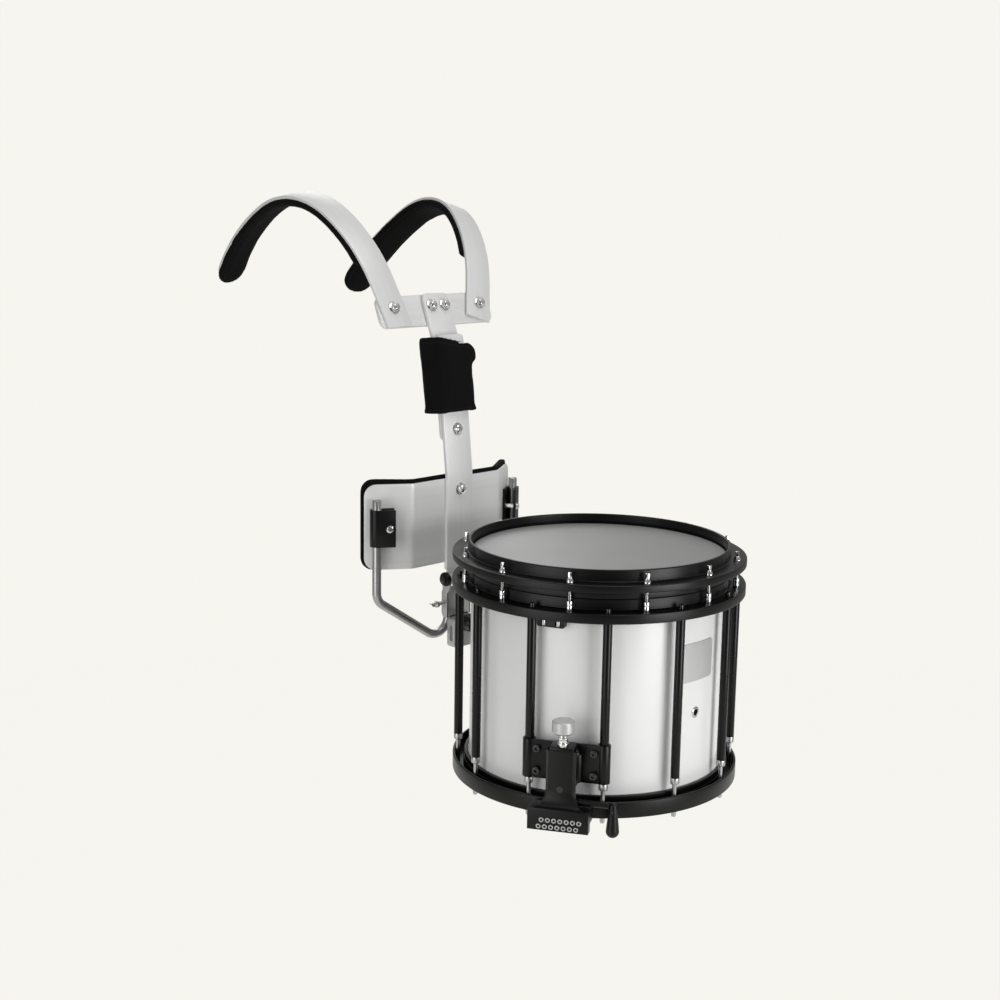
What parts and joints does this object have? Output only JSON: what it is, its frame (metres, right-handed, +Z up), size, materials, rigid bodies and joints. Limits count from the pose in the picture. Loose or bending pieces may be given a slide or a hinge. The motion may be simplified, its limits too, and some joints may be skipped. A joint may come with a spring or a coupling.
{
  "type": "marching snare drum",
  "caption": "Field drum with tuning rods and a snare strainer, hung on a shoulder yoke with padded straps, a belly plate and a tilting foot.",
  "frame": {"origin": "centre of the playing surface on top of the batter head", "axes": "+Z up along the drum's axis, +Y towards the player, +X to the player's left"},
  "size_m": [0.4271, 0.9042, 0.8142],
  "materials": {
    "white_wrap": "gloss white wrap over wood plies",
    "grey_film": "woven grey film, matt",
    "clear_film": "hazy clear film",
    "black_coat": "black anodised, satin",
    "black_block": "black anodised, satin",
    "chrome_steel": "bright chrome",
    "dark_steel": "dark bright plating",
    "aluminium": "brushed, bare",
    "snare_cord": "coated cord",
    "foam": "black foam with a cloth face"
  },
  "bodies": {
    "yoke": {"upper_spine": "aluminium", "cross_bar": "aluminium", "chest_pad": "foam"},
    "carrier": {"lower_spine": "aluminium", "belly_plate": "aluminium", "belly_pad": "foam", "rod_clamp_right": "black_coat", "rod_clamp_left": "black_coat", "tilt_axle": "black_coat"},
    "right_strap": {"shoulder_strap_right": "aluminium", "shoulder_pad_right": "foam"},
    "left_strap": {"shoulder_strap_left": "aluminium", "shoulder_pad_left": "foam"},
    "drum": {"shell": "white_wrap", "batter_head": "grey_film", "snare_head": "clear_film", "top_hoop": "black_coat", "edge_ring": "black_coat", "bottom_hoop": "black_coat", "lug_tube_01": "black_coat", "lug_tube_02": "black_coat", "lug_tube_03": "black_coat", "lug_tube_04": "black_coat", "lug_tube_05": "black_coat", "lug_tube_06": "black_coat", "lug_tube_07": "black_coat", "lug_tube_08": "black_coat", "lug_tube_09": "black_coat", "lug_tube_10": "black_coat", "lug_tube_11": "black_coat", "lug_tube_12": "black_coat", "tension_rod_01": "chrome_steel", "tension_rod_02": "chrome_steel", "tension_rod_03": "chrome_steel", "tension_rod_04": "chrome_steel", "tension_rod_05": "chrome_steel", "tension_rod_06": "chrome_steel", "tension_rod_07": "chrome_steel", "tension_rod_08": "chrome_steel", "tension_rod_09": "chrome_steel", "tension_rod_10": "chrome_steel", "tension_rod_11": "chrome_steel", "tension_rod_12": "chrome_steel", "badge": "aluminium", "vent_grommet_01": "chrome_steel", "vent_grommet_02": "chrome_steel", "batter_clamp": "black_coat", "strainer_frame": "black_coat", "snare_strands": "snare_cord", "butt_bracket": "black_coat", "mount_bracket": "black_coat", "tilt_bracket": "aluminium", "tilt_block": "aluminium"},
    "right_rod": {"j_rod_right": "dark_steel"},
    "left_rod": {"j_rod_left": "dark_steel"},
    "screw": {"tilt_screw": "chrome_steel"},
    "arm": {"strainer_arm": "black_coat"},
    "clamp": {"snare_clamp": "black_block"},
    "knob": {"strainer_knob": "aluminium"},
    "lever": {"throw_off_lever": "black_coat"}
  },
  "joints": [
    {"name": "spine_slide", "type": "slide", "parent": "yoke", "child": "carrier", "axis": [0, 0.1149, 0.9934], "range_m": [-0.001, 0.045]},
    {"name": "right_strap_swivel", "type": "hinge", "parent": "yoke", "child": "right_strap", "pos_m": [-0.087, 0.338, 0.315], "axis": [0, -0.9272, 0.3746], "range_deg": [-10, 10]},
    {"name": "left_strap_swivel", "type": "hinge", "parent": "yoke", "child": "left_strap", "pos_m": [0.087, 0.338, 0.315], "axis": [0, -0.9272, 0.3746], "range_deg": [-10, 10]},
    {"name": "drum_tilt", "type": "hinge", "parent": "carrier", "child": "drum", "pos_m": [0, 0.28, -0.09], "axis": [1, 0, 0], "range_deg": [-8, 5]},
    {"name": "right_rod_turn", "type": "hinge", "parent": "carrier", "child": "right_rod", "pos_m": [-0.14171, 0.30726, -0.016], "axis": [0, 0, 1], "range_deg": [-3.5, 3.5]},
    {"name": "left_rod_turn", "type": "hinge", "parent": "carrier", "child": "left_rod", "pos_m": [0.14171, 0.30726, -0.016], "axis": [0, 0, 1], "range_deg": [-3.5, 3.5]},
    {"name": "tilt_screw_turn", "type": "hinge", "parent": "drum", "child": "screw", "pos_m": [-0.03, 0.2859, -0.128], "axis": [-1, 0, 0], "continuous": true},
    {"name": "arm_swing", "type": "hinge", "parent": "drum", "child": "arm", "pos_m": [-0.18472, -0.10665, -0.223], "axis": [0.5, -0.866, 0], "range_deg": [-8, 0]},
    {"name": "clamp_slide", "type": "slide", "parent": "arm", "child": "clamp", "axis": [0, 0, 1], "range_m": [-0.003, 0]},
    {"name": "knob_turn", "type": "hinge", "parent": "drum", "child": "knob", "pos_m": [-0.18186, -0.105, -0.196], "axis": [0, 0, 1], "range_deg": [-1080, 0]},
    {"name": "lever_throw", "type": "hinge", "parent": "arm", "child": "lever", "pos_m": [-0.18533, -0.107, -0.289], "axis": [0.5, -0.866, 0], "range_deg": [-80, 0]}
  ],
  "couplings": [
    {"joint": "right_rod_turn", "follows": "drum_tilt", "ratio": 0.4},
    {"joint": "left_rod_turn", "follows": "drum_tilt", "ratio": -0.4},
    {"joint": "arm_swing", "follows": "lever_throw", "ratio": 0.1},
    {"joint": "knob_turn", "follows": "clamp_slide", "rad_per_m": 6283.2}
  ]
}
